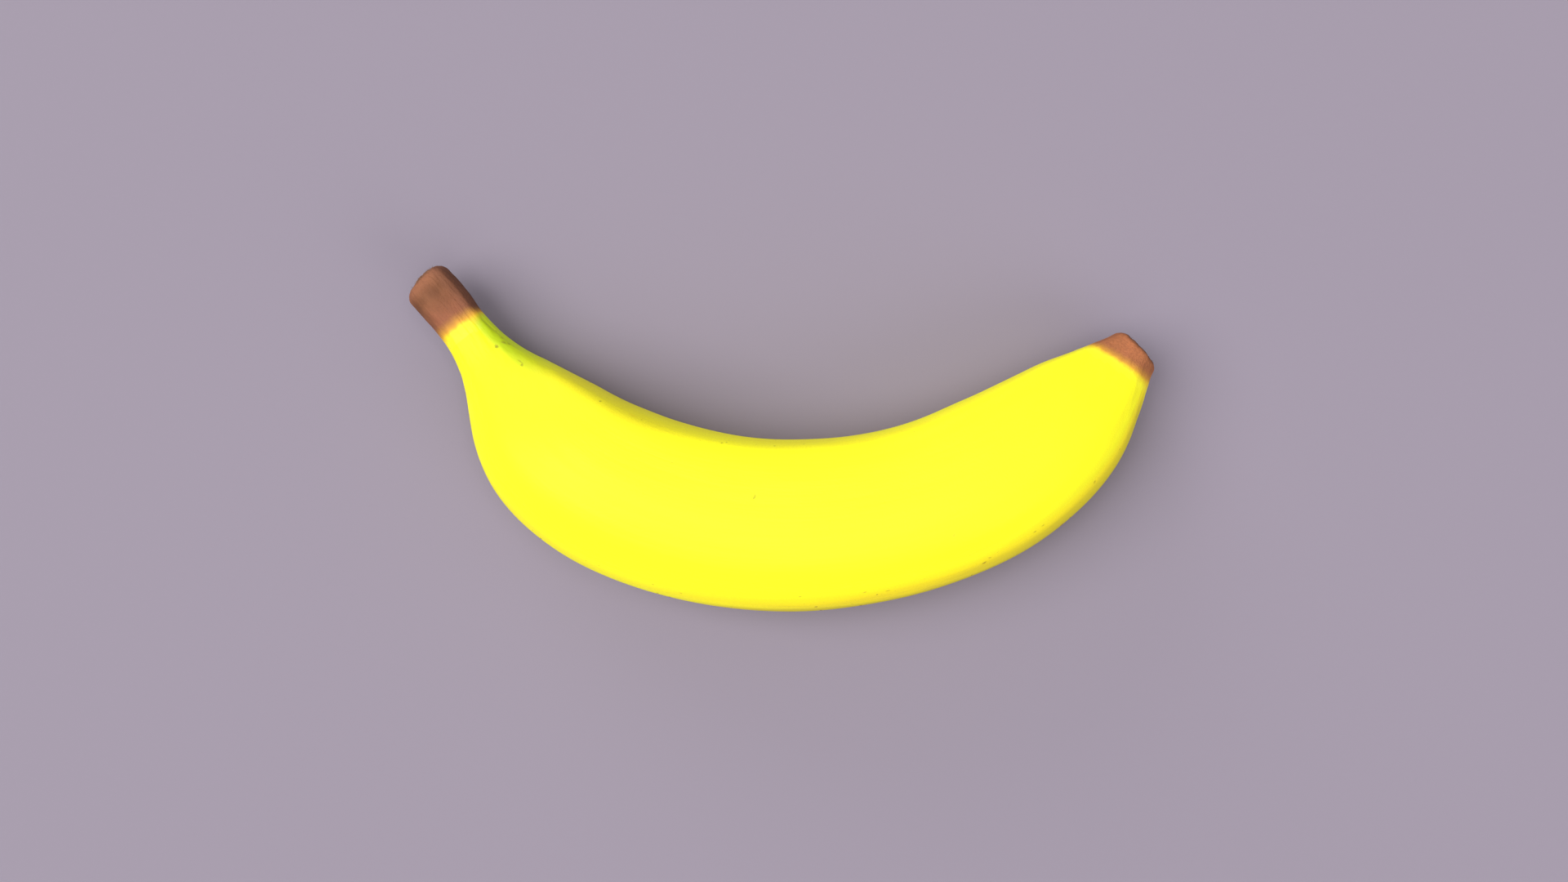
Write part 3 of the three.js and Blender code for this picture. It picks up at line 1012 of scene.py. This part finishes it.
def fleckPlaces(tree):  # on the sides, ridges and neck
    calc, product, ease = maths(tree)
    flow, along, _, upShare = whereOnPeel(tree)
    ripe = product(ease(along, *flecks["fromStem"]), ease(along, *flecks["fromTip"]))
    shy = ease(upShare, *flecks["side"])
    clear = ease(split(tree, placeField(tree))[2], *flecks["raised"])
    near = calc("MAXIMUM", namedField(tree, "crest", "FLOAT"), ease(along, *flecks["neck"]))
    patches = ease(noiseOver(tree, flow, flecks["waves"]), *flecks["patches"])
    away = flecks["awayShare"]
    weight = product(calc("MULTIPLY_ADD", near, 1 - away, away), patches)
    return product(weight, ripe, product(shy, clear))


endPlacing = {"onFace": (0.7, 0.95), "scarReach": (0.8, 0.6)}


def cutPlaces(tree):
    return fade(tree, split(tree, namedField(tree, "ends"))[0], *endPlacing["onFace"])


def scarPlaces(tree):
    onScar = fade(tree, split(tree, namedField(tree, "ends"))[1], *endPlacing["onFace"])
    nearMiddle = fade(tree, split(tree, namedField(tree, "section"))[2], *endPlacing["scarReach"])
    return mathNode(tree, "MULTIPLY", onScar, nearMiddle)


def pebble(tree):
    inputs = {"Segments": 8, "Rings": 4, "Radius": 1.0}
    return addNode(tree, "GeometryNodeMeshUVSphere", inputs).outputs["Mesh"]


def strand(tree):
    inputs = {"Vertices": 5, "Side Segments": 4, "Radius Top": 0.035, "Radius Bottom": 0.11, "Depth": 1.3}
    return addNode(tree, "GeometryNodeMeshCone", inputs).outputs["Mesh"]


corkFleckSizes = {
    "Density": 60000.0,  # to a square metre, where they lie most thickly
    "Least Size": 0.10 * mm,
    "Most Size": 0.32 * mm,
    "Stretch": 1.5,  # lengthwise
    "Height": 0.18,
    "Lean": 0.05,
    "Spin": 0.5,  # radians either way
    "Bend": 1.1,  # as a share of the size
    "Seed": 11,
}
strandSizes = {"Stretch": 1.0, "Height": 1.0, "Spin": math.pi}
stemFibreSizes = strandSizes | {
    "Density": 1.3e6,
    "Least Size": 0.16 * mm,
    "Most Size": 0.42 * mm,
    "Lean": 0.7,
    "Bend": 0.7,
    "Seed": 5,
}
blossomBristleSizes = strandSizes | {
    "Density": 1.2e6,
    "Least Size": 0.25 * mm,
    "Most Size": 0.65 * mm,
    "Lean": 0.9,
    "Bend": 0.6,
    "Seed": 8,
}


bitLook = {
    "roughness": 0.8,
    "grains": {"Size": 0.16 * mm},
    "threads": {"Length": 0.9 * mm, "Width": 0.12 * mm},
    "toneTint": 0.6,  # the rest of the tint is the pattern's
    "depth": 0.03,  # mm
}


def makeDriedBit(name, dark, light, fibrous):  # the finish of a fleck, a torn thread or a bristle
    material, tree, shader = newMaterial(name, {"Specular IOR Level": 0.3})
    calc, product, _ = maths(tree)
    place = tree.nodes.new("ShaderNodeTexCoord").outputs["Object"]
    grains = patterned(tree, grain, place, bitLook["grains"])
    threads = patterned(tree, fibres, place, bitLook["threads"])
    pattern = blendFactor(tree, fibrous, grains, threads)
    rest = product(pattern, 1 - bitLook["toneTint"])
    mixed = calc("MULTIPLY_ADD", attributeOf(tree, "tone", "Fac"), bitLook["toneTint"], rest)
    base = blendColour(tree, mixed, dark, light)
    finished(tree, shader, base, bitLook["roughness"], product(pattern, bitLook["depth"]))
    return material


def scatterPiece(name, sizes, material, weigh, makeShape):
    tree = buildScatterTree(name + "Tree", sizes, weigh, makeShape)
    piece = runTree(name, bananaPeel.data, tree, sizes | {"Material": material})
    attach(piece, "root")


cork = makeDriedBit("corkSkin", colour(0.10, 0.048, 0.016), colour(0.27, 0.14, 0.032), 0.0)
thread = makeDriedBit("driedThread", colour(0.085, 0.042, 0.024), colour(0.24, 0.135, 0.07), 0.8)
husk = makeDriedBit("blossomHusk", colour(0.035, 0.016, 0.01), colour(0.17, 0.08, 0.04), 0.5)
scatterPiece("corkFlecks", corkFleckSizes, cork, fleckPlaces, pebble)
scatterPiece("stemFibres", stemFibreSizes, thread, cutPlaces, strand)
scatterPiece("blossomBristles", blossomBristleSizes, husk, scarPlaces, strand)


floorLook = {"Base Color": colour(0.178, 0.152, 0.190), "Roughness": 0.8}
floorPlace = {"reach": 6, "below": 0.05 * mm}


def makeFloor():
    reach = floorPlace["reach"]
    corners = [(-reach, -reach, 0), (reach, -reach, 0), (reach, reach, 0), (-reach, reach, 0)]
    mesh = bpy.data.meshes.new("floor")
    mesh.from_pydata(corners, [], [(0, 1, 2, 3)])
    floor = linked("floor", mesh)
    floor.location.z = -floorPlace["below"]
    mesh.materials.append(newMaterial("paleFloor", floorLook)[0])


lamps = {  # (degrees round from +X, degrees up, watts to a square metre, degrees across)
    "key": (180, 55, 2.95, 45),
    "overhead": (0, 90, 1.5, 41),
    "back": (120, 15, 1.1, 36),
    "front": (270, 55, 0.5, 36),
    "frontRight": (315, 35, 0.8, 36),
}
room = {"Color": colour(0.95, 0.94, 1.0), "Strength": 0.4}


def lightRoom():  # soft and even, so that the floor looks the same from every side
    for name, (turn, lift, strength, spread) in lamps.items():
        lamp = bpy.data.lights.new(name, "SUN")
        lamp.energy = strength
        lamp.angle = math.radians(spread)
        light = linked(name, lamp)
        light.rotation_euler = (0, math.radians(90 - lift), math.radians(turn))
        light.location.z = 1
    scene.world = bpy.data.worlds.new("paleRoom")
    scene.world.use_nodes = True
    background = scene.world.node_tree.nodes["Background"]
    for socket, value in room.items():
        background.inputs[socket].default_value = value
    scene.view_settings.view_transform = "Standard"


cameraView = {"lens": 50, "sensor": 36, "place": (0.63 * mm, -0.65 * mm, 506.26 * mm)}


def addCamera():  # looks straight down, with +Y at the top
    camera = linked("camera", bpy.data.cameras.new("camera"))
    camera.data.lens = cameraView["lens"]
    camera.data.sensor_width = cameraView["sensor"]
    camera.data.clip_start = 0.01
    camera.location = cameraView["place"]
    scene.camera = camera


makeFloor()
lightRoom()
addCamera()
print("stage: floor,", len(lamps), "lamps and the camera")
